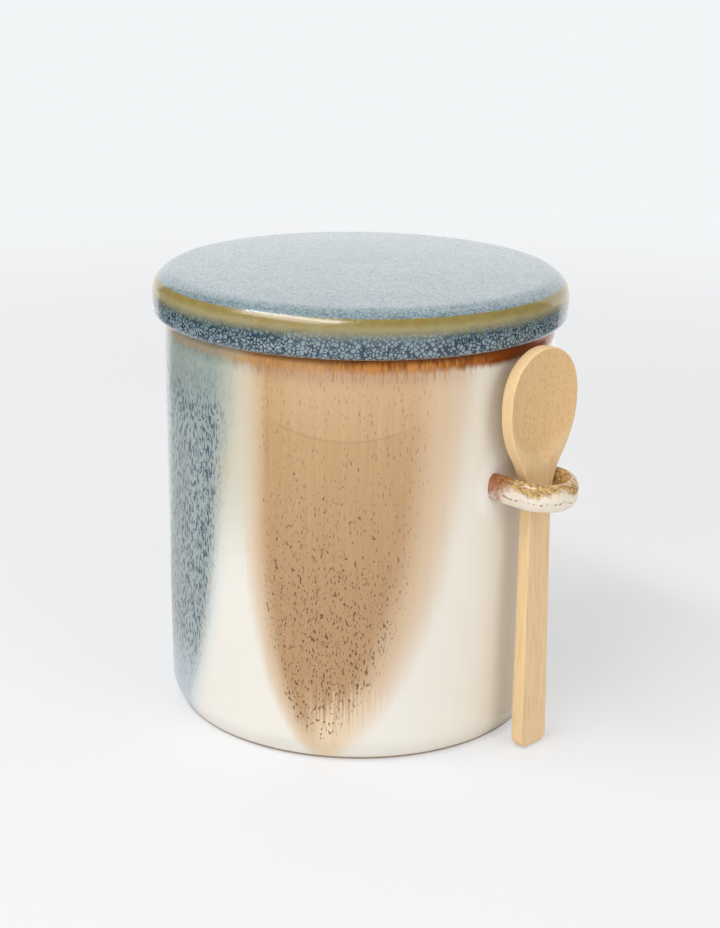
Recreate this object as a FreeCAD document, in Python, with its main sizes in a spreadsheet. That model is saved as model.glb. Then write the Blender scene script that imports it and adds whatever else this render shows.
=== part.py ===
import FreeCAD, Part
import Sketcher
import math
import os

# Storage jar: a stoneware pot with a clay loop on its wall, an overhanging stoneware lid with a
# silicone seal round its spigot, and a one-piece bamboo spoon that hangs in the loop.
# Millimetres, +Z up, origin at the centre of the foot, +X out through the loop.

vector = FreeCAD.Vector
doc = FreeCAD.newDocument("storage_jar")
sheet = doc.addObject("Spreadsheet::Sheet", "Sizes")

driving_sizes = {
    # Pot: outside, foot and rim
    "pot_low_radius": "58.0",
    "pot_flare": "0.9",
    "pot_height": "121.3",
    "pot_wall": "4.8",
    "pot_floor": "6.5",
    "pot_inner_round": "8.0",
    "foot_inset": "2.7",
    "foot_bevel_height": "5.5",
    "foot_round": "0.8",
    "bevel_round": "7.0",
    "shoulder_drop": "9.0",
    "shoulder_draw": "0.6",
    "shoulder_round": "20.0",
    "rim_round": "1.6",
    # Lid: disc, hollow spigot and the groove for the seal
    "lid_overhang": "3.6",
    "lid_thickness": "13.3",
    "lid_crown": "1.15",
    "lid_seat_gap": "0.3",
    "lid_undercut": "0.4",
    "lid_flank_height": "4.7",
    "lid_flank_round": "14.0",
    "lid_top_round": "6.8",
    "lid_lower_round": "2.2",
    "spigot_gap": "1.8",
    "spigot_height": "11.0",
    "spigot_wall": "7.0",
    "spigot_round": "1.5",
    "hollow_depth": "5.0",
    "hollow_round": "4.0",
    "groove_drop": "3.2",
    "groove_height": "4.6",
    "groove_depth": "1.8",
    # Seal: band in the groove and two lips that reach for the pot's bore
    "seal_fit": "0.1",
    "seal_band_stand": "0.2",
    "lip_gap": "0.3",
    "lip_thickness": "0.8",
    "lip_rise": "0.7",
    # Loop: bent bar of oval section
    "loop_above_neck": "6.1",
    "loop_standout": "20.3",
    "loop_clearance": "1.0",
    "loop_droop": "2.9",
    "bar_width": "4.8",
    "bar_height": "8.3",
    # Spoon: handle that leans in towards the pot, flared neck and a dished bowl that leans out again
    "spoon_length": "121.3",
    "spoon_floor_gap": "0.4",
    "spoon_wall_gap": "4.9",
    "spoon_turn": "6.0",
    "handle_width": "11.2",
    "handle_thickness": "4.3",
    "handle_lean": "1.8",
    "tip_round": "2.8",
    "neck_width": "9.2",
    "neck_round": "26.0",
    "bowl_width": "28.6",
    "bowl_length": "40.0",
    "bowl_lean": "0.2",
    "bowl_edge": "4.2",
    "bowl_flank_round": "26.0",
    "bowl_drop": "2.5",
    "bend_round": "120.0",
    "dish_length": "29.0",
    "dish_depth": "2.2",
    "dish_margin": "1.2",
}

for row, (alias, text) in enumerate(driving_sizes.items(), start=1):
    sheet.set(f"A{row}", text)
    sheet.setAlias(f"A{row}", alias)
doc.recompute()


class Size:
    # A length that keeps the formula it came from, so one line gives its value and its binding.
    def __init__(self, value, formula):
        self.value = value
        self.formula = formula

    def __add__(self, other):
        other = as_size(other)
        return Size(self.value + other.value, f"({self.formula} + {other.formula})")

    def __sub__(self, other):
        other = as_size(other)
        return Size(self.value - other.value, f"({self.formula} - {other.formula})")

    def __mul__(self, other):
        other = as_size(other)
        return Size(self.value * other.value, f"({self.formula} * {other.formula})")

    def __truediv__(self, other):
        other = as_size(other)
        return Size(self.value / other.value, f"({self.formula} / {other.formula})")

    def __neg__(self):
        return Size(-self.value, f"(0 - {self.formula})")


def as_size(thing):
    if isinstance(thing, Size):
        return thing
    return Size(float(thing), repr(float(thing)))


def root(size):
    return Size(math.sqrt(size.value), f"sqrt({size.formula})")


def named(alias):
    return Size(float(sheet.get(alias)), f"Sizes.{alias}")


def bind(thing, field, size):
    thing.setExpression(field, size.formula)


def new_body(name):
    body = doc.addObject("PartDesign::Body", name)
    body.Label = name
    return body


def new_sketch(body, name, role):
    sketch = body.newObject("Sketcher::SketchObject", name)
    plane = [item for item in body.Origin.OriginFeatures if item.Role == role][0]
    sketch.AttachmentSupport = [(plane, "")]
    sketch.MapMode = "FlatFace"
    return sketch


def bound_constraint(sketch, size, *where):
    index = sketch.addConstraint(Sketcher.Constraint(*where, size.value))
    bind(sketch, f"Constraints[{index}]", size)


def fix_point(sketch, geometry, end, across, along):
    # Ties one point of a sketch to its two coordinates, with a point on an axis held by that axis.
    for size, axis, kind in ((across, -2, "DistanceX"), (along, -1, "DistanceY")):
        if size.value == 0:
            sketch.addConstraint(Sketcher.Constraint("PointOnObject", geometry, end, axis))
        else:
            bound_constraint(sketch, size, kind, -1, 1, geometry, end)


def draw_outline(sketch, corners):
    # Closed outline of straight edges. A corner is (across, along) or (across, along, round).
    corners = [[as_size(item) for item in corner] for corner in corners]
    count = len(corners)
    points = [vector(corner[0].value, corner[1].value, 0) for corner in corners]
    ways = [(points[(k + 1) % count] - points[k]).normalize() for k in range(count)]
    entries = list(points)
    exits = list(points)
    arcs = {}
    for k, corner in enumerate(corners):
        if len(corner) < 3:
            continue
        before = ways[k - 1]
        after = ways[k]
        turn = before.x * after.y - before.y * after.x
        half_turn = before.getAngle(after) / 2
        cut = corner[2].value * math.tan(half_turn)
        entries[k] = points[k] - before * cut
        exits[k] = points[k] + after * cut
        inward = (after - before).normalize()
        centre = points[k] + inward * (corner[2].value / math.cos(half_turn))
        ends = (entries[k], exits[k]) if turn > 0 else (exits[k], entries[k])
        angles = [math.atan2(end.y - centre.y, end.x - centre.x) for end in ends]
        circle = Part.Circle(centre, vector(0, 0, 1), corner[2].value)
        arcs[k] = (Part.ArcOfCircle(circle, *angles), 1 if turn > 0 else 2)
    edges = [sketch.addGeometry(Part.LineSegment(exits[k], entries[(k + 1) % count])) for k in range(count)]
    for k, corner in enumerate(corners):
        if k not in arcs:
            sketch.addConstraint(Sketcher.Constraint("Coincident", edges[k - 1], 2, edges[k], 1))
            fix_point(sketch, edges[k], 1, corner[0], corner[1])
            continue
        shape, first_end = arcs[k]
        arc = sketch.addGeometry(shape)
        mark = sketch.addGeometry(Part.Point(points[k]), True)
        sketch.addConstraint(Sketcher.Constraint("Tangent", edges[k - 1], 2, arc, first_end))
        sketch.addConstraint(Sketcher.Constraint("Tangent", edges[k], 1, arc, 3 - first_end))
        sketch.addConstraint(Sketcher.Constraint("PointOnObject", mark, 1, edges[k - 1]))
        sketch.addConstraint(Sketcher.Constraint("PointOnObject", mark, 1, edges[k]))
        bound_constraint(sketch, corner[2], "Radius", arc)
        fix_point(sketch, mark, 1, corner[0], corner[1])


def turned_body(name, corners):
    # A body of revolution about +Z from an outline of (radius, height) corners.
    body = new_body(name)
    sketch = new_sketch(body, f"{name}_profile", "XZ_Plane")
    draw_outline(sketch, corners)
    turning = body.newObject("PartDesign::Revolution", f"{name}_turning")
    turning.Profile = sketch
    turning.ReferenceAxis = (sketch, ["V_Axis"])
    turning.Angle = 360
    return body


# Sizes that several pieces share
foot_bevel_height = named("foot_bevel_height")
pot_low_radius = named("pot_low_radius")
pot_high_radius = pot_low_radius + named("pot_flare")
pot_height = named("pot_height")
bore_radius = pot_low_radius - named("pot_wall")
shoulder_height = pot_height - named("shoulder_drop")
seat_height = pot_height + named("lid_seat_gap")
spigot_radius = bore_radius - named("spigot_gap")
groove_radius = spigot_radius - named("groove_depth")
groove_top = seat_height - named("groove_drop")
groove_bottom = groove_top - named("groove_height")

# Pot: foot with a bevelled corner, nearly straight wall, shoulder drawn in under the rim
rim_radius = pot_high_radius - named("shoulder_draw")
jar_body = turned_body("jar_body", [
    (0, 0),
    (pot_low_radius - named("foot_inset"), 0, named("foot_round")),
    (pot_low_radius, foot_bevel_height, named("bevel_round")),
    (pot_high_radius, shoulder_height, named("shoulder_round")),
    (rim_radius, pot_height, named("rim_round")),
    (bore_radius, pot_height, named("rim_round")),
    (bore_radius, named("pot_floor"), named("pot_inner_round")),
    (0, named("pot_floor")),
])

# Lid: gently crowned disc with a rounded edge, and a hollow spigot with a groove that holds the seal
lid_radius = pot_high_radius + named("lid_overhang")
lid_edge = seat_height + named("lid_thickness")
lid_top = lid_edge + named("lid_crown")
crown_round = lid_radius * lid_radius * 0.35 / named("lid_crown")
spigot_end = seat_height - named("spigot_height")
hollow_radius = spigot_radius - named("spigot_wall")
hollow_top = seat_height + named("hollow_depth")
lid = turned_body("lid", [
    (0, hollow_top),
    (hollow_radius, hollow_top, named("hollow_round")),
    (hollow_radius, spigot_end, named("spigot_round")),
    (spigot_radius, spigot_end, named("spigot_round")),
    (spigot_radius, groove_bottom),
    (groove_radius, groove_bottom),
    (groove_radius, groove_top),
    (spigot_radius, groove_top),
    (spigot_radius, seat_height),
    (lid_radius - named("lid_undercut"), seat_height, named("lid_lower_round")),
    (lid_radius, seat_height + named("lid_flank_height"), named("lid_flank_round")),
    (lid_radius, lid_edge, named("lid_top_round")),
    (lid_radius / 2, lid_top, crown_round),
    (0, lid_top),
])

# Seal: band that fills the groove, with two lips that slope up towards the bore
seal_fit = named("seal_fit")
lip_thickness = named("lip_thickness")
lip_rise = named("lip_rise")
band_inside = groove_radius + seal_fit
band_outside = spigot_radius + named("seal_band_stand")
lip_radius = bore_radius - named("lip_gap")
band_bottom = groove_bottom + seal_fit
band_top = groove_top - seal_fit
upper_lip_root = band_top - lip_rise - lip_thickness
lid_seal = turned_body("lid_seal", [
    (band_inside, band_bottom),
    (band_outside, band_bottom),
    (lip_radius, band_bottom + lip_rise),
    (lip_radius, band_bottom + lip_rise + lip_thickness),
    (band_outside, band_bottom + lip_thickness),
    (band_outside, upper_lip_root),
    (lip_radius, upper_lip_root + lip_rise),
    (lip_radius, band_top),
    (band_outside, band_top - lip_rise),
    (band_outside, band_top),
    (band_inside, band_top),
])

# Spoon's outline: hollow neck arc, full flank arc and a round top, each tangent to the next
spoon_length = named("spoon_length")
spoon_floor_gap = named("spoon_floor_gap")
neck_round = named("neck_round")
flank_round = named("bowl_flank_round")
bowl_drop = named("bowl_drop")
bowl_radius = named("bowl_width") / 2
half_neck = named("neck_width") / 2
flank_inset = bowl_radius - flank_round
top_radius = flank_round - root(flank_inset * flank_inset + bowl_drop * bowl_drop)
top_along = spoon_length - top_radius
flank_along = top_along - bowl_drop
neck_across = half_neck + neck_round
arc_reach = flank_round + neck_round
arc_span = neck_across - flank_inset
neck_along = flank_along - root(arc_reach * arc_reach - arc_span * arc_span)

# Loop: oval bar bent round the neck of the spoon, its two ends trimmed to the pot's wall
loop_height = spoon_floor_gap + neck_along + named("loop_above_neck")
bar_width = named("bar_width")
handle_width = named("handle_width")
wall_slope = (pot_high_radius - pot_low_radius) / (shoulder_height - foot_bevel_height)
wall_radius = pot_low_radius + wall_slope * (loop_height - foot_bevel_height)
bend_radius = (handle_width + named("loop_clearance") * 2 + bar_width) / 2
leg_length = named("loop_standout") - bend_radius - bar_width / 2

loop_bar = new_body("loop_bar")
loop_bar.Placement = FreeCAD.Placement(vector(), FreeCAD.Rotation(vector(0, 1, 0), 1))
bind(loop_bar, "Placement.Base.x", wall_radius)
bind(loop_bar, "Placement.Base.z", loop_height)
bind(loop_bar, "Placement.Rotation.Angle", named("loop_droop"))

path = new_sketch(loop_bar, "loop_path", "XY_Plane")
near_start = vector(-bar_width.value, -bend_radius.value, 0)
near_end = vector(leg_length.value, -bend_radius.value, 0)
far_start = vector(leg_length.value, bend_radius.value, 0)
far_end = vector(-bar_width.value, bend_radius.value, 0)
bend_circle = Part.Circle(vector(leg_length.value, 0, 0), vector(0, 0, 1), bend_radius.value)
near_leg = path.addGeometry(Part.LineSegment(near_start, near_end))
bend = path.addGeometry(Part.ArcOfCircle(bend_circle, -math.pi / 2, math.pi / 2))
far_leg = path.addGeometry(Part.LineSegment(far_start, far_end))
path.addConstraint(Sketcher.Constraint("Tangent", near_leg, 2, bend, 1))
path.addConstraint(Sketcher.Constraint("Tangent", bend, 2, far_leg, 1))
path.addConstraint(Sketcher.Constraint("Horizontal", near_leg))
fix_point(path, near_leg, 1, -bar_width, -bend_radius)
path.addConstraint(Sketcher.Constraint("Horizontal", far_leg))
bound_constraint(path, -bar_width, "DistanceX", -1, 1, far_leg, 2)
fix_point(path, bend, 3, leg_length, as_size(0))

section = new_sketch(loop_bar, "loop_section", "YZ_Plane")
bind(section, "AttachmentOffset.Base.x", -bend_radius)
bind(section, "AttachmentOffset.Base.z", -bar_width)
half_width = bar_width / 2
half_height = named("bar_height") / 2
oval_top = vector(0, half_height.value, 0)
oval_side = vector(half_width.value, 0, 0)
oval = section.addGeometry(Part.Ellipse(oval_top, oval_side, vector()))
section.exposeInternalGeometry(oval)
section.addConstraint(Sketcher.Constraint("Coincident", oval, 3, -1, 1))
section.addConstraint(Sketcher.Constraint("PointOnObject", oval + 1, 1, -2))
bound_constraint(section, half_height * 2, "Distance", oval + 1, 1, oval + 1, 2)
bound_constraint(section, half_width * 2, "Distance", oval + 2, 1, oval + 2, 2)

bar = loop_bar.newObject("PartDesign::AdditivePipe", "loop_bending")
bar.Profile = section
bar.Spine = path

pot_outside = doc.addObject("Part::Cone", "pot_outside")
bind(pot_outside, "Radius1", pot_low_radius)
bind(pot_outside, "Radius2", pot_high_radius)
bind(pot_outside, "Height", shoulder_height - foot_bevel_height)
bind(pot_outside, "Placement.Base.z", foot_bevel_height)

spoon_loop = doc.addObject("Part::Cut", "spoon_loop")
spoon_loop.Label = "spoon_loop"
spoon_loop.Base = loop_bar
spoon_loop.Tool = pot_outside

# Spoon: its side profile gives the thickness and the two leans, its outline the width
handle_thickness = named("handle_thickness")
handle_lean = named("handle_lean")
bowl_lean = named("bowl_lean")
bowl_length = named("bowl_length")
bend_height = spoon_length - bowl_length
lean_at_loop = handle_lean * (loop_height - spoon_floor_gap) / bend_height

spoon = new_body("spoon")
bind(spoon, "Placement.Base.x", wall_radius + named("spoon_wall_gap") + handle_thickness + lean_at_loop)
bind(spoon, "Placement.Base.z", spoon_floor_gap)
bind(spoon, "Placement.Rotation.Angle", -named("spoon_turn"))

side = new_sketch(spoon, "spoon_side", "XZ_Plane")
draw_outline(side, [
    (0, 0),
    (-handle_lean, bend_height, named("bend_round")),
    (bowl_lean - handle_lean, spoon_length),
    (bowl_lean - handle_lean - named("bowl_edge"), spoon_length),
    (-handle_lean - handle_thickness, bend_height, named("bend_round")),
    (-handle_thickness, 0),
])
blank = spoon.newObject("PartDesign::Pad", "spoon_blank")
blank.Profile = side
blank.SideType = "Symmetric"
bind(blank, "Length", bowl_radius * 4)
doc.recompute()

tip_round = named("tip_round")
half_tip = handle_width / 2
tip_flat = half_tip - tip_round
top_angle = math.atan2(bowl_drop.value, -flank_inset.value)
neck_angle = math.acos(arc_span.value / arc_reach.value)
quarter = math.pi / 2


def add_arc(sketch, hand, across, along, radius, first, last):
    # An arc whose centre and angles are given for the +Y side, and mirrored for the other.
    circle = Part.Circle(vector(hand * across.value, along.value, 0), vector(0, 0, 1), radius.value)
    ends = (first, last) if hand > 0 else (math.pi - last, math.pi - first)
    return sketch.addGeometry(Part.ArcOfCircle(circle, *ends))


outline = new_sketch(spoon, "spoon_outline", "YZ_Plane")
tip = outline.addGeometry(Part.LineSegment(vector(-tip_flat.value, 0, 0), vector(tip_flat.value, 0, 0)))
fix_point(outline, tip, 1, -tip_flat, as_size(0))
fix_point(outline, tip, 2, tip_flat, as_size(0))
top = add_arc(outline, 1, as_size(0), top_along, top_radius, top_angle, math.pi - top_angle)
crest = outline.addGeometry(Part.Point(vector(0, spoon_length.value, 0)), True)
fix_point(outline, crest, 1, as_size(0), spoon_length)
outline.addConstraint(Sketcher.Constraint("PointOnObject", crest, 1, top))
outline.addConstraint(Sketcher.Constraint("PointOnObject", top, 3, -2))
for hand in (1, -1):
    tip_end, arc_first, arc_last = (2, 1, 2) if hand > 0 else (1, 2, 1)
    corner = add_arc(outline, hand, tip_flat, tip_round, tip_round, -quarter, 0)
    edge_low = vector(hand * half_tip.value, tip_round.value, 0)
    edge_high = vector(hand * half_neck.value, neck_along.value, 0)
    edge = outline.addGeometry(Part.LineSegment(edge_low, edge_high))
    neck = add_arc(outline, hand, neck_across, neck_along, neck_round, math.pi - neck_angle, math.pi)
    flank = add_arc(outline, hand, flank_inset, flank_along, flank_round, -neck_angle, top_angle)
    outline.addConstraint(Sketcher.Constraint("Tangent", tip, tip_end, corner, arc_first))
    bound_constraint(outline, tip_round, "Radius", corner)
    bound_constraint(outline, tip_round, "DistanceY", -1, 1, corner, arc_last)
    outline.addConstraint(Sketcher.Constraint("Coincident", corner, arc_last, edge, 1))
    bound_constraint(outline, half_neck * hand, "DistanceX", -1, 1, edge, 2)
    outline.addConstraint(Sketcher.Constraint("Coincident", edge, 2, neck, arc_last))
    outline.addConstraint(Sketcher.Constraint("Horizontal", neck, 3, neck, arc_last))
    bound_constraint(outline, neck_round, "Radius", neck)
    outline.addConstraint(Sketcher.Constraint("Tangent", neck, arc_first, flank, arc_first))
    bound_constraint(outline, flank_round, "Radius", flank)
    bound_constraint(outline, flank_inset * hand, "DistanceX", -1, 1, flank, 3)
    outline.addConstraint(Sketcher.Constraint("Tangent", flank, arc_last, top, arc_first))
bound_constraint(outline, bowl_drop, "DistanceY", flank, 3, top, 3)
border = bowl_radius * 3
draw_outline(outline, [
    (-border, -border),
    (border, -border),
    (border, spoon_length + border),
    (-border, spoon_length + border),
])
trim = spoon.newObject("PartDesign::Pocket", "spoon_trim")
trim.Profile = outline
trim.Type = "ThroughAll"
trim.SideType = "Symmetric"

# Dish of the bowl: an ellipsoid held off the face by two thirds of its own depth, which widens it
dish_spread = 3 / math.sqrt(5)
dish_depth = named("dish_depth")
dish_margin = named("dish_margin")
dish_height = spoon_length - dish_margin - named("dish_length") / 2
dish_face = bowl_lean * (dish_height - bend_height) / bowl_length - handle_lean
dish = spoon.newObject("PartDesign::SubtractiveEllipsoid", "spoon_dish")
dish.Placement = FreeCAD.Placement(vector(), FreeCAD.Rotation(vector(0, 1, 0), 1))
bind(dish, "Radius1", named("dish_length") / 2 * dish_spread)
bind(dish, "Radius2", dish_depth * 3)
bind(dish, "Radius3", (bowl_radius - dish_margin) * dish_spread)
bind(dish, "Placement.Base.x", dish_face + dish_depth * 2)
bind(dish, "Placement.Base.z", dish_height)
dish.setExpression("Placement.Rotation.Angle", f"atan({(bowl_lean / bowl_length).formula})")
doc.recompute()

# Every object of the document has to be sound before a file is written
pieces = [jar_body, spoon_loop, lid, lid_seal, spoon]
for thing in doc.Objects:
    faults = [state for state in thing.State if state in ("Invalid", "Error")]
    if faults:
        raise RuntimeError(f"{thing.Label} failed: {faults}")
for piece in pieces:
    if piece.Shape.isNull() or not piece.Shape.isValid():
        raise RuntimeError(f"{piece.Label} has no sound shape")

os.makedirs("parts", exist_ok=True)
for piece in pieces:
    piece.Shape.exportStep(f"parts/{piece.Label}.step")
    box = piece.Shape.optimalBoundingBox()
    print(piece.Label, "solids", len(piece.Shape.Solids), "volume", round(piece.Shape.Volume, 1),
          "low", [round(v, 2) for v in (box.XMin, box.YMin, box.ZMin)],
          "high", [round(v, 2) for v in (box.XMax, box.YMax, box.ZMax)])
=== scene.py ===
import math
import bpy
import numpy as np
from mathutils import Matrix, Vector


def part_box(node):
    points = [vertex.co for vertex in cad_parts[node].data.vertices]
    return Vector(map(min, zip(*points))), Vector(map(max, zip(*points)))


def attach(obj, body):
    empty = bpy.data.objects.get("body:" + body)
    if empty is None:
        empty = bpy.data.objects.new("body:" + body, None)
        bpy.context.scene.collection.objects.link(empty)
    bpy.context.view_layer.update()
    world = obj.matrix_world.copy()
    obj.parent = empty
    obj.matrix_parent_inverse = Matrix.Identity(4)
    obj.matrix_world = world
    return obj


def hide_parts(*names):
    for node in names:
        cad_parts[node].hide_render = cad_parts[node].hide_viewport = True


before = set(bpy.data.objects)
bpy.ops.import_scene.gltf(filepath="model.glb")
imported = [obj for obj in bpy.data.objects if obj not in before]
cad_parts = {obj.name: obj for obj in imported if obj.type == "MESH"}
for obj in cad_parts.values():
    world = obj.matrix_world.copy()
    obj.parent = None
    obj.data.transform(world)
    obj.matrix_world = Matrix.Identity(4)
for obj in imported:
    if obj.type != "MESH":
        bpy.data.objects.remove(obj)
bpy.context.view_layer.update()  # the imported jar: bodies, nodes, joints and record
print("frame loaded with", sorted(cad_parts))

mm = 0.001
degree = math.pi / 180
weldGrain = 1e-8    # metres: points that round to the same grain become one


def frameSize(length):
    # A length of the frame in mm, to the hundredth that the model is drawn to
    return round(length / mm, 2)


# Mesh tools: rounded profiles, grids and turned pieces

def roundedLine(corners, runStep, arcStep):
    # Corners (across, along, radius). Each corner becomes a tangent arc with the points
    # centre + radius * (cos a, sin a), and each straight run between arcs is cut into equal steps
    # of about runStep.
    flat = np.array([corner[:2] for corner in corners], float)
    pieces = [flat[:1]]
    for k in range(1, len(corners) - 1):
        before = (flat[k] - flat[k - 1]) / np.linalg.norm(flat[k] - flat[k - 1])
        after = (flat[k + 1] - flat[k]) / np.linalg.norm(flat[k + 1] - flat[k])
        radius = corners[k][2]
        bend = math.atan2(before[0] * after[1] - before[1] * after[0], before @ after)
        cut = radius * math.tan(abs(bend) / 2)
        inward = np.array([-before[1], before[0]]) * np.sign(bend)
        centre = flat[k] - before * cut + inward * radius
        first = math.atan2(-inward[1], -inward[0])
        steps = max(3, int(abs(bend) / arcStep) + 2, int(radius * abs(bend) / runStep) + 2)
        angles = first + bend * np.linspace(0, 1, steps)
        pieces.append(centre + radius * np.stack([np.cos(angles), np.sin(angles)], 1))
    pieces.append(flat[-1:])
    line = [pieces[0]]
    for piece in pieces[1:]:
        start = line[-1][-1]
        steps = max(1, int(np.linalg.norm(piece[0] - start) / runStep))
        line.append(start + (piece[0] - start) * np.linspace(0, 1, steps + 1)[1:-1, None])
        line.append(piece)
    return np.concatenate(line)


def gridPiece(name, grid, fields=None):
    # Grid of points [along, across], closed across, to a mesh. Points in one place are welded, which closes
    # the ends. Faces point outwards: p . (q x r + r x s) summed over the quads p, q, r, s is positive.
    rows, columns = grid.shape[:2]
    a, b = np.meshgrid(np.arange(rows - 1), np.arange(columns), indexing="ij")
    corners = [(a, b), (a, b + 1), (a + 1, b + 1), (a + 1, b)]
    quads = np.stack([i * columns + j % columns for i, j in corners], -1).reshape(-1, 4)
    points = grid.reshape(-1, 3)
    _, first, back = np.unique(np.round(points / weldGrain), axis=0, return_index=True, return_inverse=True)
    quads = back.reshape(-1)[quads]
    points = points[first]
    p, q, r, s = np.moveaxis(points[quads], 1, 0)
    if (p * (np.cross(q, r) + np.cross(r, s))).sum() < 0:
        quads = quads[:, ::-1]
    same = quads == np.roll(quads, -1, axis=1)
    whole = quads[~same.any(1)].tolist()
    pinched = same.sum(1) == 1
    triangles = quads[pinched][~same[pinched]].reshape(-1, 3).tolist()
    mesh = bpy.data.meshes.new(name)
    mesh.from_pydata(points.tolist(), [], whole + triangles)
    mesh.polygons.foreach_set("use_smooth", np.ones(len(mesh.polygons), bool))
    for field, values in (fields or {}).items():
        layer = mesh.attributes.new(field, "FLOAT", "POINT")
        onPoints = np.broadcast_to(values, (rows, columns)).reshape(-1)[first]
        layer.data.foreach_set("value", onPoints.astype(np.float32))
    mesh.update()
    piece = bpy.data.objects.new(name, mesh)
    bpy.context.scene.collection.objects.link(piece)
    return piece


def turned(name, sizes, corners):
    # Corners (radius, height, round) in mm, turned about Z: the points are (r cos a, r sin a, z)
    # for equal steps of a
    inMetres = [tuple(np.array(corner) * mm) for corner in corners]
    profile = roundedLine(inMetres, sizes["runStep"], sizes["arcStep"])
    radius, height = profile[:, :1], profile[:, 1:]
    angle = 2 * math.pi * np.arange(sizes["count"]) / sizes["count"]
    return gridPiece(name, np.stack([radius * np.cos(angle), radius * np.sin(angle), height + 0 * angle], -1))


def settle(piece, body, node, material):
    piece.data.materials.append(material)
    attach(piece, body)
    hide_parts(node)
    print(piece.name, "has", len(piece.data.polygons), "faces")


# Shader tools: one wrapped socket, whose operators add Math nodes

class Wire:
    def __init__(self, tree, socket=None):
        self.tree = tree
        self.socket = socket

    def node(self, kind, settings=None, sockets=None, out=0):
        made = self.tree.nodes.new(kind)
        for name, value in (settings or {}).items():
            setattr(made, name, value)
        for name, value in (sockets or {}).items():
            if isinstance(value, Wire):
                self.tree.links.new(value.socket, made.inputs[name])
            else:
                made.inputs[name].default_value = value
        return Wire(self.tree, made.outputs[out] if made.outputs else None)

    def also(self, out):
        return Wire(self.tree, self.socket.node.outputs[out])

    def maths(self, operation, *values):
        return self.node("ShaderNodeMath", {"operation": operation}, dict(enumerate(values)))

    def __add__(self, other):
        return self.maths("ADD", self, other)

    def __sub__(self, other):
        return self.maths("SUBTRACT", self, other)

    def __mul__(self, other):
        return self.maths("MULTIPLY", self, other)

    def __truediv__(self, other):
        return self.maths("DIVIDE", self, other)

    def __pow__(self, other):
        return self.maths("POWER", self, other)

    def __radd__(self, other):
        return self.maths("ADD", other, self)

    def __rsub__(self, other):
        return self.maths("SUBTRACT", other, self)

    def __rmul__(self, other):
        return self.maths("MULTIPLY", other, self)

    def __neg__(self):
        return self.maths("MULTIPLY", self, -1)

    def size(self):
        return self.maths("ABSOLUTE", self)

    def step(self, low, high):
        # Smooth step from 0 at low to 1 at high, which falls where high is the smaller
        return self.node("ShaderNodeMapRange", {"interpolation_type": "SMOOTHSTEP"},
                         {"Value": self, "From Min": low, "From Max": high})

    def split(self):
        x = self.node("ShaderNodeSeparateXYZ", None, {0: self})
        return x, x.also(1), x.also(2)

    def vector(self, operation, other):
        return self.node("ShaderNodeVectorMath", {"operation": operation}, {0: self, 1: other})


def shade(*levels):
    # A colour as it is seen, in 0 to 255, to the linear values that a socket takes
    seen = np.array(levels) / 255
    linear = np.where(seen > 0.04045, ((seen + 0.055) / 1.055) ** 2.4, seen / 12.92)
    return (*linear.tolist(), 1.0)


def tint(factor, under, over):
    return factor.node("ShaderNodeMix", {"data_type": "RGBA"}, {0: factor, 6: under, 7: over}, 2)


def newFinish(name):
    material = bpy.data.materials.new(name)
    material.use_nodes = True
    material.node_tree.nodes.clear()
    return material, Wire(material.node_tree)


def attribute(start, name):
    return start.node("ShaderNodeAttribute", {"attribute_name": name}, None, "Fac")


def drawn(place, stretch):
    # The place squeezed in height, so that a pattern on it is drawn out upright
    return place.vector("MULTIPLY", (1, 1, 1 / stretch))


def cloud(place, scale, detail=2.0, rough=0.5):
    return place.node("ShaderNodeTexNoise", None,
                      {"Vector": place, "Scale": scale, "Detail": detail, "Roughness": rough})


def wobbled(place, scale, amount):
    # The place pushed about by a coloured noise of the given size
    push = cloud(place, scale).also("Color").vector("SUBTRACT", (0.5, 0.5, 0.5))
    return place.vector("ADD", push.vector("MULTIPLY", (amount, amount, amount)))


def cells(place, scale, feature="F1"):
    return place.node("ShaderNodeTexVoronoi", {"feature": feature}, {"Vector": place, "Scale": scale})


def flecks(place, scale, stretch, reach, softEdge=0.08):
    # Drops round the seeds of drawn-out cells, 1 at a seed and 0 past reach, and a chance value for each drop
    seed = cells(drawn(place, stretch), scale)
    chance = seed.node("ShaderNodeSeparateColor", None, {0: seed.also("Color")})
    return (reach - seed).step(0, softEdge), chance


def finish(start, colour, roughness, height, **constants):
    # The height of the relief is in metres
    sockets = {"Base Color": colour, "Roughness": roughness, **constants}
    sockets["Normal"] = start.node("ShaderNodeBump", None, {"Height": height, "Distance": 1.0})
    shader = start.node("ShaderNodeBsdfPrincipled", None, sockets)
    start.node("ShaderNodeOutputMaterial", None, {"Surface": shader})


# Camera, at the photo's place: heights and distances from the jar's foot

lens = {
    "distance": 518.9 * mm,     # from the jar's axis, on the floor plan
    "height": 240.6 * mm,
    "loopTurn": 50.2 * degree,  # the loop stands this far to the right of the line of sight
    "pan": 0.064 * degree,
    "down": 17.912 * degree,
    "roll": 0.913 * degree,
    "focalPixels": 1760.2,
    "longSidePixels": 928,
    "sensor": 36.0,
    "nearest": 0.01,
    "farthest": 50.0,
}
sinLoop, cosLoop = math.sin(lens["loopTurn"]), math.cos(lens["loopTurn"])
# Rows: the photo's right, the photo's way in, and up, each in the jar's frame
photoAxes = np.array([[sinLoop, cosLoop, 0], [-cosLoop, sinLoop, 0], [0, 0, 1]])


def fromPhoto(right, away, up):
    return photoAxes.T @ np.array([right, away, up], float)


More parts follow.
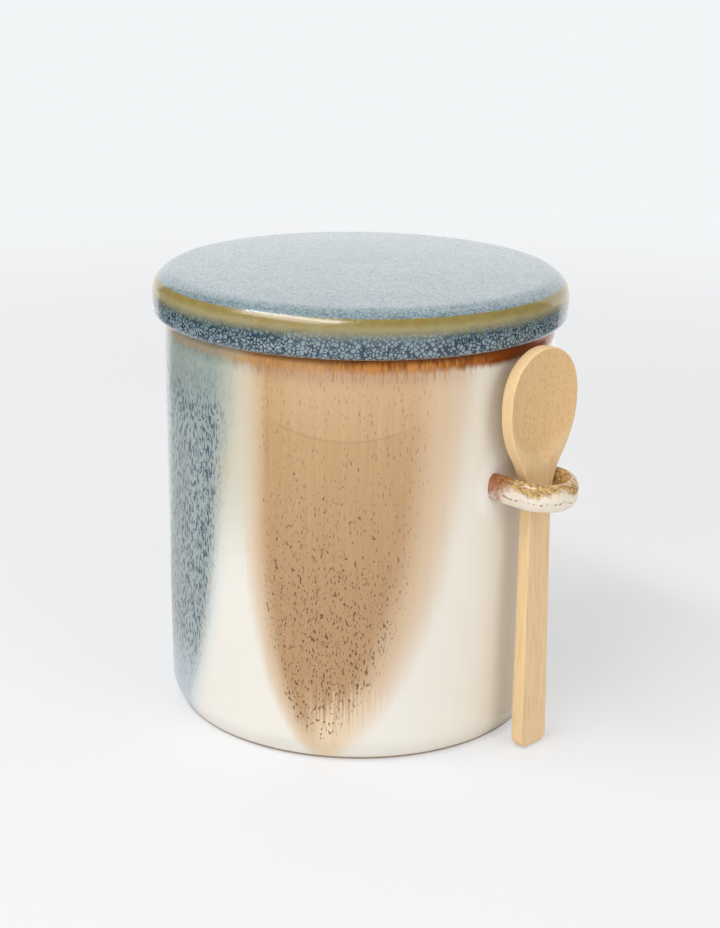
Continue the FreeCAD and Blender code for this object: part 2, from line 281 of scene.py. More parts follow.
def makeCamera():
    pan, down, roll = lens["pan"], lens["down"], lens["roll"]
    ahead = np.array([math.sin(pan) * math.cos(down), math.cos(pan) * math.cos(down), -math.sin(down)])
    level = np.array([math.cos(pan), -math.sin(pan), 0])
    under = np.cross(ahead, level)
    right = math.cos(roll) * level - math.sin(roll) * under
    below = math.sin(roll) * level + math.cos(roll) * under
    place = np.eye(4)
    for column, way in enumerate((right, -below, -ahead)):
        place[:3, column] = fromPhoto(*way)
    place[:3, 3] = fromPhoto(0, -lens["distance"], lens["height"])
    data = bpy.data.cameras.new("photoCamera")
    data.sensor_width = lens["sensor"]
    data.lens = lens["focalPixels"] * lens["sensor"] / lens["longSidePixels"]
    data.clip_start, data.clip_end = lens["nearest"], lens["farthest"]
    camera = bpy.data.objects.new("photoCamera", data)
    bpy.context.scene.collection.objects.link(camera)
    camera.matrix_world = Matrix(place.tolist())
    bpy.context.scene.camera = camera


makeCamera()
print("camera placed")

# Studio: pale floor, pale surroundings, soft boxes

studio = {
    "floorHalf": 8.0,
    "floorDrop": 0.05 * mm,
    "floorColour": shade(238, 237, 237),
    "floorRough": 0.8,
    "floorShine": 0.1,
    "paper": shade(243, 245, 247),
    "paperShare": 0.45,         # plain paper mixed into the floor near the jar, so its shadow stays soft
    "paperNear": 0.22,          # the floor turns to plain paper between these distances
    "paperFar": 0.9,
    "tableEdge": 0.37,          # beyond this the glaze mirrors a pale card in front, and dark at its sides
    "cardLeft": -39.0,
    "cardRight": 45.0,
    "cardLevel": 1.7,
    "darkLeft": -138.0,
    "darkRight": 132.0,
    "darkLevel": 0.06,
    "dimLevel": 0.15,
    "dimEdge": 5.0,             # the dark side at the left turns to the dim one over this many degrees
    "backEdge": 0.13,           # behind the jar the bright paper comes closer
    "lowBackLevel": 1.3,
    "edgeBlur": 0.01,
    "bearingBlur": 1.0,
    "roomLevel": 0.55,          # light of the room on matt surfaces
    "sideLevel": 0.10,          # what shines in the glaze from the sides
    "backLevel": 1.28,          # and from the bright wall behind the jar, between these bearings
    "backLeft": -36.0,
    "backRight": 55.0,
    "boxes": {                  # right, away, up, width, height, watts, on matt surfaces, in the glaze
        "keyBox": (-0.45, -0.35, 1.10, 1.00, 0.19, 6.8, True, True),
        "shineBox": (-0.56, -0.44, 0.97, 1.00, 0.32, 6.0, False, True),
        "frontBox": (-0.75, -1.00, 0.60, 0.80, 0.80, 3.2, True, False),
        "fillBox": (1.00, -1.00, 0.70, 0.80, 0.80, 4.6, True, False),
    },
    "aim": (0, 0, 0.07),
}


def grey(name):
    return (studio[name],) * 3 + (1,)


def bearingOf(x, y, ahead):
    # Bearing in degrees, right positive, from the photo's way in (ahead = 1) or from the way back
    # to the camera (ahead = -1)
    rightWay, awayWay = fromPhoto(1, 0, 0), fromPhoto(0, ahead, 0)
    toRight = x * rightWay[0] + y * rightWay[1]
    return toRight.maths("ARCTAN2", toRight, x * awayWay[0] + y * awayWay[1]) / degree


def within(bearing, left, right):
    blur = studio["bearingBlur"]
    return (bearing - studio[left]).step(-blur, blur) * (studio[right] - bearing).step(-blur, blur)


def makeFloor():
    half, drop = studio["floorHalf"], -studio["floorDrop"]
    mesh = bpy.data.meshes.new("floor")
    mesh.from_pydata([(-half, -half, drop), (half, -half, drop), (half, half, drop), (-half, half, drop)],
                     [], [(0, 1, 2, 3)])
    floor = bpy.data.objects.new("floor", mesh)
    bpy.context.scene.collection.objects.link(floor)
    material, start = newFinish("floorPaper")
    x, y, _ = start.node("ShaderNodeTexCoord", None, None, "Object").split()
    far = (x * x + y * y) ** 0.5
    plain = start.node("ShaderNodeBsdfPrincipled", None,
                       {"Base Color": studio["floorColour"], "Roughness": studio["floorRough"],
                        "Specular IOR Level": studio["floorShine"]})
    glow = start.node("ShaderNodeEmission", None, {"Color": studio["paper"], "Strength": 1.0})
    eye = start.node("ShaderNodeLightPath", None, None, "Is Camera Ray")
    near = studio["paperShare"]
    share = (near + (1 - near) * far.step(studio["paperNear"], studio["paperFar"])) * eye
    mixed = start.node("ShaderNodeMixShader", None, {0: share, 1: plain, 2: glow})

    # What the glaze mirrors from the floor: a card in front, dark sides, bright paper behind
    bearing = bearingOf(x, y, -1)
    behind = 1 - within(bearing, "darkLeft", "darkRight")
    shine = tint(bearing.step(-studio["dimEdge"], studio["dimEdge"]), grey("darkLevel"), grey("dimLevel"))
    shine = tint(within(bearing, "cardLeft", "cardRight"), shine, grey("cardLevel"))
    shine = tint(behind, shine, grey("lowBackLevel"))
    beyond = start.node("ShaderNodeEmission", None, {"Color": shine, "Strength": 1.0})
    edge = studio["tableEdge"] + (studio["backEdge"] - studio["tableEdge"]) * behind
    outside = far.step(edge - studio["edgeBlur"], edge + studio["edgeBlur"]) * eye.also("Is Glossy Ray")
    mixed = start.node("ShaderNodeMixShader", None, {0: outside, 1: mixed, 2: beyond})
    start.node("ShaderNodeOutputMaterial", None, {"Surface": mixed})
    mesh.materials.append(material)


def makeRoom():
    world = bpy.data.worlds.new("studioRoom")
    world.use_nodes = True
    world.node_tree.nodes.clear()
    start = Wire(world.node_tree)
    x, y, _ = start.node("ShaderNodeTexCoord", None, None, "Generated").split()
    bright = within(bearingOf(x, y, 1), "backLeft", "backRight")
    shine = tint(bright, grey("sideLevel"), grey("backLevel"))
    eye = start.node("ShaderNodeLightPath", None, None, "Is Camera Ray")
    level = tint(eye.also("Is Glossy Ray"), grey("roomLevel"), shine)
    room = start.node("ShaderNodeBackground", None, {"Color": level, "Strength": 1.0})
    paper = start.node("ShaderNodeBackground", None, {"Color": studio["paper"], "Strength": 1.0})
    mixed = start.node("ShaderNodeMixShader", None, {0: eye, 1: room, 2: paper})
    start.node("ShaderNodeOutputWorld", None, {"Surface": mixed})
    bpy.context.scene.world = world


def makeBoxes():
    for name, (right, away, up, width, height, watts, lights, shines) in studio["boxes"].items():
        data = bpy.data.lights.new(name, "AREA")
        data.shape = "RECTANGLE"
        data.size, data.size_y, data.energy = width, height, watts
        lamp = bpy.data.objects.new(name, data)
        bpy.context.scene.collection.objects.link(lamp)
        lamp.location = fromPhoto(right, away, up)
        toJar = Vector(fromPhoto(*studio["aim"])) - lamp.location
        lamp.rotation_euler = toJar.to_track_quat("-Z", "Y").to_euler()
        lamp.visible_camera = False
        lamp.visible_diffuse = lights
        lamp.visible_glossy = shines


makeFloor()
makeRoom()
makeBoxes()
bpy.context.scene.view_settings.view_transform = "Standard"
print("studio lit")

# Sizes of the loop, which come first because the pot's glaze is drawn up round its roots

loop = {
    "rootX": 58.64 * mm,        # where the bar meets the wall
    "height": 81.03 * mm,
    "bend": 9.0 * mm,           # radius of the bent middle, and half the space between the legs
    "leg": 8.9 * mm,
    "sink": 2.6 * mm,           # how far the ends run into the wall
    "halfWidth": 2.4 * mm,
    "halfHeight": 4.15 * mm,
    "droop": 2.9 * degree,
    "slack": 0.016,             # the hand-rolled bar keeps inside its drawn section by this share,
    "swell": 0.012,             # and swells and thins by this one
    "swells": 9,
    "steps": 220,
    "around": 72,
}

# Pot: turned stoneware with a bevelled foot and a shoulder under the rim

_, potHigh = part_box("jar_body")
pot = {                         # sizes in mm, bearings in degrees from the line of sight, right positive
    "count": 432,
    "runStep": 2.4 * mm,
    "arcStep": 10 * degree,
    "rim": frameSize(potHigh.z),
    "recess": 0.5,              # the middle of the foot is hollowed by this
    "recessRadius": 44.5,
    "ringInner": 45.2,
    "ringOuter": 55.3,
    "bevelTop": 5.5,
    "lowRadius": 58.0,
    "highRadius": 58.9,
    "shoulder": 112.3,
    "rimRadius": 58.3,
    "bore": 53.2,
    "floor": 6.5,
    "bareFoot": 0.9,            # the glaze stops this far above the table
    # Glaze runs: bearing of the middle, and the left and right edge from there. An edge has its bearing
    # high up, the change at the foot, and the height over which that change fades
    "tan": (0, (-31.3, 22.5, 25), (27.5, -38, 40)),
    "backTan": (176, (-24, 34, 42), (30, -30, 30)),
    "blueMiddle": -87.2,
    "blueEdge": (-35.2, -25.9, 60.5),   # right edge from the line of sight, mirrored about the middle
    "farBlue": (116, (-27, 30, 40), (24, -30, 50)),
    "arcLineHeight": 98.0,        # a faint darker line, this high where it sags lowest
    "rustHeight": 117.7,
    "hazeHeight": 114.2,
    "dripHeight": 116.6,
    "deepRust": 62,             # the rust is deepest at this bearing
    "ior": 1.5,
    "relief": 0.06 * mm,
}


def makePot():
    # From the middle of the foot, up the wall, over the rim and down the bore
    s = pot
    return turned("potBody", s, [
        (0, s["recess"], 0), (s["recessRadius"], s["recess"], 0.4), (s["ringInner"], 0, 0.3),
        (s["ringOuter"], 0, 0.8), (s["lowRadius"], s["bevelTop"], 7.0),
        (s["highRadius"], s["shoulder"], 20.0), (s["rimRadius"], s["rim"], 2.6),
        (s["bore"], s["rim"], 1.6), (s["bore"], s["floor"], 8.0), (0, s["floor"], 0),
    ])


def potGlaze():
    material, start = newFinish("potGlaze")
    place = start.node("ShaderNodeTexCoord", None, None, "Object")
    x, y, z = place.split()
    right = x * sinLoop + y * cosLoop
    front = x * cosLoop - y * sinLoop
    turn = right.maths("ARCTAN2", right, front) / degree
    height = z / mm
    radius = (x * x + y * y) ** 0.5 / mm
    fine = cloud(drawn(place, 30), 1100)
    broad = cloud(drawn(place, 14), 260)
    thread = cloud(drawn(place, 24), 1700)
    blotch = cloud(place, 60, 3)
    sway = (broad - 0.5) * 2.6 + (fine - 0.5) * 1.2

    def turnFrom(middle):
        return turn.maths("WRAP", turn - middle, 180, -180)

    def fading(high, change, depth):
        # Edge of a run, in degrees: high + change * exp(-height / depth)
        return high + change * height.maths("EXPONENT", height * (-1 / depth))

    def between(way, low, high, softLow, softHigh):
        return (way - low + sway).step(-softLow, softLow) * (high - way + sway).step(-softHigh, softHigh)

    def run(name, softLow, softHigh):
        middle, low, high = pot[name]
        return between(turnFrom(middle), fading(*low), fading(*high), softLow, softHigh)

    # Cream made warmer and a little darker towards the right: partly the glaze's own tone, partly painted
    # shade of the side away from the key light
    warmShadedRight = turn.step(5, 45) * (1 - turn.step(120, 150))
    cream = tint(blotch, shade(230, 226, 215), shade(237, 234, 226))
    cream = tint(warmShadedRight * 0.6, cream, shade(236, 228, 211))

    # Tan runs, in front and at the back
    ease = 0.72 + height / 420
    tan = run("tan", 6.2 * ease, 12.5 * ease)
    tan = tan.maths("MAXIMUM", tan, run("backTan", 9.0 * ease, 7.0 * ease))
    tanColour = tint(fine, shade(180, 141, 97), shade(202, 165, 120))
    tanColour = tint(height.step(110, 40) * 0.5, tanColour, shade(168, 131, 93))
    tanColour = tint(height.step(96, 118) * 0.35, tanColour, shade(212, 177, 138))
    pale = ((thread - 0.5) * 2.2 + (21 - height) / 16).step(-0.25, 0.75) * turnFrom(-34).size().step(17, 26)
    tanColour = tint(pale * 0.8, tanColour, shade(238, 219, 184))
    halo = tan * (1 - tan) * 1.5
    colour = tint(tan, cream, tanColour)
    colour = tint(halo, colour, shade(222, 186, 138))

    # Dark dashes in the tan, thicker towards the foot, in upright rows
    rows = cloud(drawn(place, 9), 420)
    strokes = cloud(wobbled(drawn(place, 2.4), 1000, 0.6 * mm), 1850)
    density = 1.1 - (height - 32).size() / 62 - (turn + 9).size() / 60 + (rows - 0.5) * 1.6
    marks = (strokes - 0.69 + density.step(-0.2, 1.2) * 0.12).step(0, 0.04) * tan.step(0.5, 0.9)
    hairs, hairChance = flecks(wobbled(place, 900, 0.4 * mm), 1150, 4.0, 0.26)
    hairs = hairs * (0.75 - hairChance).step(0, 0.1) * tan.step(0.6, 0.95) * (1 - pale)
    colour = tint(hairs * 0.5, colour, shade(140, 98, 72))
    colour = tint(marks * 0.88, colour, shade(92, 58, 40))

    # A faint darker line that sags in the middle, with slightly paler colour above it
    overArcLine = height - pot["arcLineHeight"] - (turn + 4) * (turn + 4) * 0.0115
    line = (1 - overArcLine.size().step(0.1, 0.6)) * turnFrom(-6).size().step(24, 12) * tan
    colour = tint(line * 0.24, colour, shade(150, 106, 66))
    colour = tint(overArcLine.step(-0.3, 0.3) * tan * 0.10, colour, shade(232, 196, 156))

    # Blue-grey runs at the left and at the far right, with dark wavy streaks and a pale edge
    way = turnFrom(pot["blueMiddle"])
    blueHalf = fading(*pot["blueEdge"]) - pot["blueMiddle"]
    blueSoft = 3.8 + height.step(60, 110) * 2.8
    blue = between(way, -blueHalf, blueHalf, blueSoft, blueSoft)
    blue = blue.maths("MAXIMUM", blue, run("farBlue", 4.0, 4.0))
    inner = blueHalf - way.size()
    blueColour = tint(broad, shade(134, 150, 151), shade(162, 174, 173))
    streak = cloud(wobbled(drawn(place, 2.8), 800, 0.8 * mm), 1400, 2, 0.55).step(0.50, 0.575)
    brim = inner.step(-0.5, 2.0) * (1 - inner.step(4.5, 10))
    strength = (0.9 + 0.1 * brim) * height.step(-8, 28) * (1 - 0.55 * height.step(100, 112))
    blueColour = tint(streak * strength, blueColour, shade(60, 78, 94))
    blueColour = tint(height.step(34, 4) * 0.6, blueColour, shade(206, 215, 224))
    blueColour = tint(height.step(98, 116) * 0.5, blueColour, shade(160, 170, 156))
    colour = tint((inner + 4.5).step(-3, 3) * (1 - blue) * 0.55, colour, shade(206, 216, 216))
    gap = (inner + 14).step(-4, 4) * (1 - tan) * height.step(48, 92)
    colour = tint(gap * 0.9, colour, shade(201, 196, 173))
    colour = tint(blue, colour, blueColour)

    # Rust at the rim, with short runs and a brown haze under them
    deep = turnFrom(pot["deepRust"]).size().step(34, 21)
    runs = (broad - 0.5) * 3.0 + (fine - 0.5) * 3.5
    rust = (height - pot["rustHeight"] + deep * 0.7 + runs * (0.8 - deep * 0.5)).step(-1.2, 1.0)
    rust = rust * (0.45 + 0.55 * way.size().step(45, 63))
    haze = (height - pot["hazeHeight"] + runs * 1.5).step(-2.5, 2.5) * tan
    colour = tint(haze * 0.24 * (0.5 + thread), colour, shade(164, 112, 84))
    rustColour = tint((fine * 0.6 + blotch * 0.4).step(0.42, 0.6), shade(142, 78, 18), shade(202, 134, 58))
    rustColour = tint(turn.step(2, -14) * 0.55, rustColour, shade(226, 176, 112))
    rustColour = tint(way.size().step(65, 43) * 0.6, rustColour, shade(196, 162, 112))
    rustColour = tint((height - pot["rim"] + 1.7).step(-0.4, 1.0) * 0.7, rustColour, shade(96, 48, 14))
    rustColour = tint(deep * 0.95, rustColour, shade(132, 60, 5))
    colour = tint(rust, colour, rustColour)
    drips = thread.step(0.52, 0.64) * (height - pot["dripHeight"]).size().step(2.6, 0.6)
    colour = tint(drips * (1 - deep) * (1 - blue) * 0.34, colour, shade(140, 84, 44))

    # White glaze drawn up round the loop's roots
    rootY = y.size() / mm - loop["bend"] / mm
    rootZ = (height - loop["height"] / mm) / 1.7
    rootWay = (rootY * rootY + rootZ * rootZ) ** 0.5
    colour = tint(rootWay.step(8.0, 4.0) * x.step(0, 10 * mm) * 0.8, colour, shade(247, 243, 237))

    # Inside: plain cream. Underneath: bare clay
    inside = (pot["bore"] + 3.8 - radius).step(0, 0.8) * (pot["rim"] - 0.3 - height).step(0, 2.0)
    colour = tint(inside * (height - pot["floor"] + 1.5).step(0, 1), colour, cream)
    bare = (pot["bareFoot"] - height).step(-0.15, 0.15)
    colour = tint(bare, colour, tint(blotch, shade(150, 126, 104), shade(172, 150, 128)))

    rough = 0.19 + tan * 0.05 + marks * 0.12 + bare * 0.55
    relief = fine * 0.5 + broad * 0.6 - marks * 0.4 - streak * blue * 0.3
    finish(start, colour, rough, relief * pot["relief"], IOR=pot["ior"])
    return material


settle(makePot(), "jar", "jar_body", potGlaze())


# Loop: oval bar bent into a U, its ends run into the wall

def makeLoop():
    # Path: two legs and a half circle, by length t. Section across the path:
    # (halfWidth cos b, halfHeight sin b) * (1 - slack + swell * sin(swells * t / legRun) * cos 2b)
    s = loop
    bend, leg = s["bend"], s["leg"]
    legRun, bendRun = leg + s["sink"], math.pi * bend
    t = np.linspace(0, 2 * legRun + bendRun, s["steps"])
    swing = np.clip((t - legRun) / bend, 0, math.pi) - math.pi / 2
    straight = np.where(t < legRun, t - legRun, np.where(t > legRun + bendRun, legRun + bendRun - t, 0))
    outward = leg + straight + bend * np.cos(swing)
    lateral = bend * np.sin(swing)
    b = 2 * math.pi * np.arange(s["around"]) / s["around"]
    uneven = 1 - s["slack"] + s["swell"] * np.sin(s["swells"] * t / legRun)[:, None] * np.cos(2 * b)
    wide = s["halfWidth"] * np.cos(b) * uneven
    tall = s["halfHeight"] * np.sin(b) * uneven
    wide[[0, -1]] = 0       # closes the two ends
    tall[[0, -1]] = 0
    u = outward[:, None] + wide * np.cos(swing)[:, None]
    y = lateral[:, None] + wide * np.sin(swing)[:, None]
    x = s["rootX"] + u * math.cos(s["droop"]) + tall * math.sin(s["droop"])
    z = s["height"] - u * math.sin(s["droop"]) + tall * math.cos(s["droop"])
    return gridPiece("spoonLoop", np.stack([x, y, z], -1), {"upward": np.sin(b), "outward": np.cos(b)})


def loopGlaze():
    material, start = newFinish("loopGlaze")
    place = start.node("ShaderNodeTexCoord", None, None, "Object")
    x = place.split()[0]
    upward = attribute(start, "upward")
    outward = attribute(start, "outward")
    patch = cloud(place, 260, 4, 0.65)
    grit = cloud(place, 1100, 3, 0.6)

    # Cream, with speckled olive on top and rust at the roots
    colour = tint(patch, shade(224, 206, 180), shade(246, 239, 229))
    olive = (upward * 1.1 - outward * 0.5 + (patch - 0.5) * 3.0 + (grit - 0.5) * 0.8).step(-0.3, 0.35)
    oliveColour = tint(grit.step(0.35, 0.65), shade(140, 96, 34), shade(216, 178, 106))
    colour = tint(olive * 0.9, colour, oliveColour)
    root = (x / mm + (patch - 0.5) * 14 - upward * 2.5).step(65.0, 59.0)
    colour = tint(root * 0.9, colour, tint(grit.step(0.3, 0.7), shade(110, 52, 20), shade(178, 104, 58)))

    # A dashed dark seam along the outer side, and dark specks in the olive
    seam = 1 - (upward + 0.25 + (patch - 0.5) * 0.6).size().step(0.03, 0.11)
    dash = grit.step(0.5, 0.58)
    colour = tint(seam * dash * 0.75 * (1 - root), colour, shade(74, 54, 42))
    marks, chance = flecks(wobbled(place, 1300, 0.6 * mm), 1000, 1.0, 0.26)
    marks = marks * (0.35 - chance).step(0, 0.1) * olive
    colour = tint(marks * 0.7, colour, shade(82, 58, 40))
    finish(start, colour, 0.10 + grit * 0.08, (patch + marks * 0.4) * (0.08 * mm), IOR=1.52)
    return material


settle(makeLoop(), "jar", "spoon_loop", loopGlaze())

# Lid: overhanging disc with a rounded edge, a hollow spigot and a groove for the seal

lidLow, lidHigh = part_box("lid")
lid = {                         # sizes in mm
    "count": 384,
    "runStep": 1.4 * mm,
    "arcStep": 8 * degree,
    "radius": frameSize(lidHigh.x),
    "top": frameSize(lidHigh.z),
    "spigotEnd": frameSize(lidLow.z),
    "edgeTop": 134.9,           # from here the top crowns up to its middle
    "crownRound": 1190.0,
    "flankTop": 126.3,
    "seat": 121.6,
    "seatRadius": 62.1,
    "spigotRadius": 51.4,
    "grooveRadius": 49.6,
    "grooveLow": 113.8,
    "grooveHigh": 118.4,
    "hollowRadius": 44.4,
    "hollowTop": 126.6,
    "breakEdge": 71.0,          # height less radius, where the glaze breaks over the rounded edge
    "ior": 1.55,
    "relief": 0.03 * mm,
}


def makeLid():
    # From the middle of the hollow, round the spigot and its groove, along the seat, over the edge
    # and to the middle of the top
    s = lid
    return turned("jarLid", s, [
        (0, s["hollowTop"], 0), (s["hollowRadius"], s["hollowTop"], 4.0),
        (s["hollowRadius"], s["spigotEnd"], 1.5), (s["spigotRadius"], s["spigotEnd"], 1.5),
        (s["spigotRadius"], s["grooveLow"], 0.2), (s["grooveRadius"], s["grooveLow"], 0.1),
        (s["grooveRadius"], s["grooveHigh"], 0.1), (s["spigotRadius"], s["grooveHigh"], 0.2),
        (s["spigotRadius"], s["seat"], 0.6), (s["seatRadius"], s["seat"], 2.2),
        (s["radius"], s["flankTop"], 14.0), (s["radius"], s["edgeTop"], 6.8),
        (s["radius"] / 2, s["top"], s["crownRound"]), (0, s["top"], 0),
    ])


def lidGlaze():
    material, start = newFinish("lidGlaze")
    place = start.node("ShaderNodeTexCoord", None, None, "Object")
    x, y, z = place.split()
    radius = (x * x + y * y) ** 0.5 / mm
    height = z / mm
    over = radius - height + lid["breakEdge"]   # mm over the edge: below 0 on the top, above 0 on the side
    patch = cloud(place, 90, 3)
    wet = cloud(place, 420, 3, 0.6)
    pushed = wobbled(place, 1500, 0.8 * mm)
    net = cells(pushed, 820, "DISTANCE_TO_EDGE")
    smallNet = cells(pushed, 1500, "DISTANCE_TO_EDGE")

    # Pale drops in a dark blue net
    near = over.step(-2.0, 1.5)
    lines = 1 - (net + (wet - 0.5) * 0.35 - 0.02).step(0.02, 0.12 + 0.05 * near)
    hair = 1 - smallNet.step(0.02, 0.15)
    colour = tint(patch, shade(128, 148, 155), shade(156, 173, 177))
    web = (lines * 0.85 + hair * 0.35).step(0.05, 0.95) * (0.5 + 0.5 * near)
    colour = tint(web, colour, shade(24, 48, 68))
    teal = over.step(9.0, 4.0) * over.step(1, 3)
    colour = tint(teal * 0.6, colour, shade(46, 80, 86))

    # Olive where the glaze breaks over the edge, paled in its lower half by a painted reflection
    olive = tint(wet, shade(124, 107, 52), shade(157, 143, 86))
    # Painted reflection: the lower half of the olive band is paled, as a soft bright panel would show in the
    # glaze
    olive = tint(over.step(0.3, 3.2) * 0.5, olive, shade(174, 167, 132))
    spots = (cloud(place, 240, 3) + (patch - 0.5) * 0.5).step(0.54, 0.68)
    olive = tint(spots * 0.25, olive, shade(150, 104, 44))
    band = (over + (wet - 0.5) * 0.5).step(-1.7, -1.1) * (1 - (over + (wet - 0.5) * 3.0).step(2.4, 6.6))
    colour = tint(band, colour, olive)

    # A pale lip under the side, and paler glaze underneath
    lip = (over - 11.2 + (wet - 0.5) * 0.8).step(0, 0.7)
    colour = tint(lip, colour, shade(190, 184, 172))
    under = (lid["seat"] + 0.35 - height).step(0, 0.3)
    colour = tint(under, colour, shade(224, 216, 200))

    rough = 0.10 + lines * 0.05 + under * 0.2
    finish(start, colour, rough, (wet * 0.6 - lines * 0.4) * lid["relief"], IOR=lid["ior"])
    return material


settle(makeLid(), "cover", "lid", lidGlaze())

# Seal: soft ring in the spigot's groove with two lips

sealLow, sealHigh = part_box("lid_seal")
seal = {                        # sizes in mm
    "count": 240,
    "runStep": 0.5 * mm,
    "arcStep": 10 * degree,
    "low": frameSize(sealLow.z),
    "high": frameSize(sealHigh.z),
    "lipRadius": frameSize(sealHigh.x),
    "bodyRadius": 51.6,
    "innerRadius": 49.7,
    "lipRise": 0.7,
    "lipThick": 0.8,
    "edgeRound": 0.2,
    "lipRound": 0.3,
}


def makeSeal():
    # Round the section from the middle of its inner side. Each lip slopes up from the body to its tip
    s = seal
    edge, soft = s["edgeRound"], s["lipRound"]
    middle = (s["innerRadius"], (s["low"] + s["high"]) / 2, 0)

    def lip(root, lowRound, highRound):
        tip = root + s["lipRise"]
        return [
            (s["bodyRadius"], root, lowRound), (s["lipRadius"], tip, soft),
            (s["lipRadius"], tip + s["lipThick"], soft), (s["bodyRadius"], root + s["lipThick"], highRound),
        ]

    return turned("lidSeal", s, [
        middle, (s["innerRadius"], s["low"], edge),
        *lip(s["low"], edge, soft), *lip(s["high"] - s["lipRise"] - s["lipThick"], soft, edge),
        (s["bodyRadius"], s["high"], edge), (s["innerRadius"], s["high"], edge), middle,
    ])


def sealSilicone():
    material, start = newFinish("sealSilicone")
    place = start.node("ShaderNodeTexCoord", None, None, "Object")
    dust = cloud(place, 900, 3, 0.6)
    haze = cloud(place, 70, 2)
    colour = tint(haze, shade(214, 216, 212), shade(232, 233, 229))
    colour = tint(dust.step(0.6, 0.75) * 0.3, colour, shade(190, 188, 180))
    finish(start, colour, 0.42 + dust * 0.2, dust * (0.02 * mm),
           **{"Subsurface Weight": 0.25, "Subsurface Radius": (0.004, 0.004, 0.004), "Subsurface Scale": 0.5})
    return material


settle(makeSeal(), "seal", "lid_seal", sealSilicone())

# Spoon: flat bamboo handle, flared neck and a bowl dished right up to its crisp edge

spoonLow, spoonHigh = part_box("spoon")
spoon = {                       # sizes in mm, up the spoon from its tip and out from the middle of its face
    "originX": 69.62,
    "originZ": frameSize(spoonLow.z),
    "turn": -6.0 * degree,
    "length": frameSize(spoonHigh.z - spoonLow.z),
    "bendHeight": 81.3,         # the handle leans in up to here, and the bowl leans out again
    "lean": 1.8,
    "bowlLean": 0.2,
    "thick": 4.3,
    "bowlThick": 4.2,
    "ease": 0.45,               # rounding of the front and back edges
    "backEase": 1.1,
    "tipHalf": 5.6,
    "tipRound": 2.8,
    "neckHalf": 4.6,
    "neckRound": 26.0,
    "flankRound": 26.0,
    "bowlHalf": 14.3,
    "bowlDrop": 2.5,            # the widest place lies this far under the centre of the round top
    "dishDepth": 2.3,
    "dishStart": 86.0,
    "dishFull": 93.0,
    "dishCurve": 8.0,
    "steps": 420,
    "arcSteps": 60,
    "faceSteps": 30,
    "edgeSteps": 6,
    "crowding": 1.3,            # draws the face's rows together towards the edge
}


def arc(across, along, radius, first, last):
    a = np.linspace(first, last, spoon["arcSteps"])
    return np.stack([across + radius * np.cos(a), along + radius * np.sin(a)], 1)


def spoonOutline():
    # Half outline (y, z): flat tip, tip round, straight edge, hollow neck arc, full flank arc, round top,
    # each tangent to the next; then evened out by length and mirrored
    s = spoon
    inset = s["bowlHalf"] - s["flankRound"]
    topRadius = s["flankRound"] - math.hypot(inset, s["bowlDrop"])
    topAlong = s["length"] - topRadius
    flankAlong = topAlong - s["bowlDrop"]
    neckAcross = s["neckHalf"] + s["neckRound"]
    reach = s["flankRound"] + s["neckRound"]
    neckAngle = math.acos((neckAcross - inset) / reach)
    neckAlong = flankAlong - reach * math.sin(neckAngle)
    topAngle = math.atan2(s["bowlDrop"], -inset)
    half = np.concatenate([
        [(0, 0)],
        arc(s["tipHalf"] - s["tipRound"], s["tipRound"], s["tipRound"], -math.pi / 2, 0),
        arc(neckAcross, neckAlong, s["neckRound"], math.pi, math.pi - neckAngle),
        arc(inset, flankAlong, s["flankRound"], -neckAngle, topAngle)[1:],
        arc(0, topAlong, topRadius, topAngle, math.pi / 2)[1:],
    ])
    run = np.concatenate([[0], np.cumsum(np.linalg.norm(np.diff(half, axis=0), axis=1))])
    even = np.linspace(0, run[-1], s["steps"] // 2 + 1)
    half = np.stack([np.interp(even, run, half[:, 0]), np.interp(even, run, half[:, 1])], 1)
    half[0, 0] = half[-1, 0] = 0
    return np.concatenate([half, half[-2:0:-1] * (-1, 1)]), topAlong


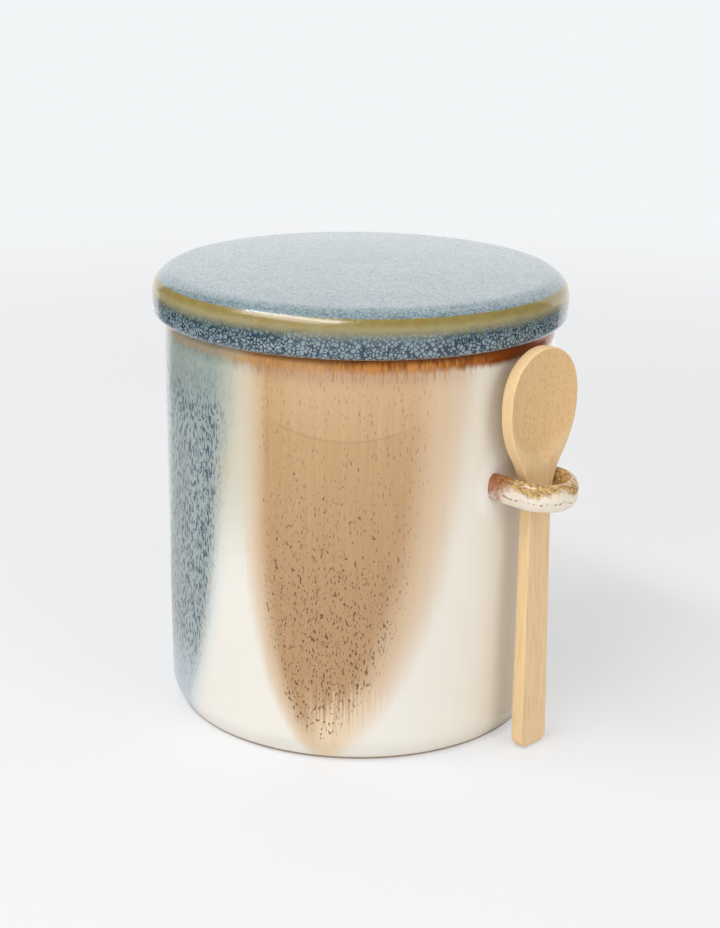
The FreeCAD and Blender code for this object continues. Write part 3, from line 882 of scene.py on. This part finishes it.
def makeSpoon():
    # Each outline point carries a section: across the face from the middle line (v from 0 to 1), over the
    # front edge, along the side, over the back edge and back to the middle. The dish sinks the face by
    # depth * rise * (1 - v^2), with rise a smooth step of z - start - curve * v^2 from the neck to the bowl.
    s = spoon
    ease, backEase = s["ease"], s["backEase"]
    outline, topAlong = spoonOutline()
    ahead = np.roll(outline, -1, 0) - np.roll(outline, 1, 0)
    ahead /= np.linalg.norm(ahead, axis=1, keepdims=True)
    outward = np.stack([ahead[:, 1], -ahead[:, 0]], 1)
    middle = np.stack([0 * outline[:, 0], np.clip(outline[:, 1], s["tipRound"], topAlong)], 1)
    v = 1 - (1 - np.linspace(0, 1, s["faceSteps"])) ** s["crowding"]
    quarter = np.linspace(0, math.pi / 2, s["edgeSteps"])
    frontEdge, backEdge = quarter[1:], quarter[:-1]

    def fan(inset):
        edge = outline - outward * inset
        return middle[:, None] + (edge - middle)[:, None] * v[:, None]

    def rim(inset, shift):
        return (outline - outward * inset)[:, None] + outward[:, None] * shift[:, None]

    def bySection(face, front, rear, back):
        # One value for each point of the section: face, front edge, back edge and back
        parts = zip((face, front, rear, back), (v, frontEdge, backEdge, v))
        return np.concatenate([value + 0 * point for value, point in parts])

    flat = np.concatenate([fan(ease), rim(ease, ease * np.sin(frontEdge)),
                           rim(backEase, backEase * np.cos(backEdge)), fan(backEase)[:, ::-1]], 1)
    y, z = flat[..., 0], flat[..., 1]
    stations = [0, s["bendHeight"], s["length"]]
    level = np.interp(z, stations, [0, -s["lean"], s["bowlLean"] - s["lean"]])
    thick = np.interp(z, stations, [s["thick"], s["thick"], s["bowlThick"]])
    onFace, onSide, onBack = bySection(1, 0, 0, 0), bySection(0, 1, 1, 0), bySection(0, 0, 1, 1)
    spread = bySection(v, 1, 1, v[::-1])
    rise = (z - s["dishStart"] - s["dishCurve"] * spread ** 2) / (s["dishFull"] - s["dishStart"])
    rise = np.clip(rise, 0, 1)
    rise = rise * rise * (3 - 2 * rise) * onFace
    sink = s["dishDepth"] * rise * (1 - spread ** 2)
    frontDrop = bySection(0, ease * (1 - np.cos(frontEdge)), 0, 0)
    backLift = bySection(0, 0, backEase * (1 - np.sin(backEdge)), 0)
    x = np.where(onBack > 0, level - thick + backLift, level - sink - frontDrop)
    cosTurn, sinTurn = math.cos(s["turn"]), math.sin(s["turn"])
    turnedX = s["originX"] + x * cosTurn - y * sinTurn
    turnedY = x * sinTurn + y * cosTurn
    points = np.stack([turnedX, turnedY, s["originZ"] + z], -1)
    return gridPiece("bambooSpoon", (points * mm).transpose(1, 0, 2),
                     {"sideWall": onSide[:, None], "dish": rise.T})


def spoonBamboo():
    material, start = newFinish("spoonBamboo")
    place = start.node("ShaderNodeTexCoord", None, None, "Object")
    side = attribute(start, "sideWall")
    dish = attribute(start, "dish")
    strand = cloud(drawn(place, 40), 1900, 3, 0.6)
    broad = cloud(drawn(place, 25), 320)
    tone = cloud(place, 45, 2)
    colour = tint(broad, shade(226, 190, 140), shade(240, 209, 164))
    # Painted light: the side walls, which face the key light, are tinted lighter and yellower than the face
    colour = tint(side * 0.6, colour, shade(241, 206, 152))
    colour = tint(tone.step(0.45, 0.75) * 0.35, colour, shade(226, 194, 154))
    colour = tint(strand.step(0.52, 0.72) * 0.3, colour, shade(190, 146, 94))
    colour = tint(dish * 0.55, colour, shade(222, 178, 120))

    # Cut strands: long dashes on the handle, short dots where the dish cuts across them
    pushed = wobbled(place, 900, 0.15 * mm)
    dashes, chance = flecks(pushed, 2100, 34, 0.32)
    dots, dotChance = flecks(pushed, 1700, 2.2, 0.33)
    dashes = dashes * (0.8 - chance).step(0, 0.2) * (1 - dish * 0.6) * (1 - side)
    dots = dots * (0.7 - dotChance).step(0, 0.2) * dish
    colour = tint(dashes * 0.28 + dots * 0.48, colour, shade(168, 120, 68))
    finish(start, colour, 0.45 + strand * 0.15, (strand - dashes * 0.5) * (0.04 * mm))
    return material


settle(makeSpoon(), "spoon", "spoon", spoonBamboo())
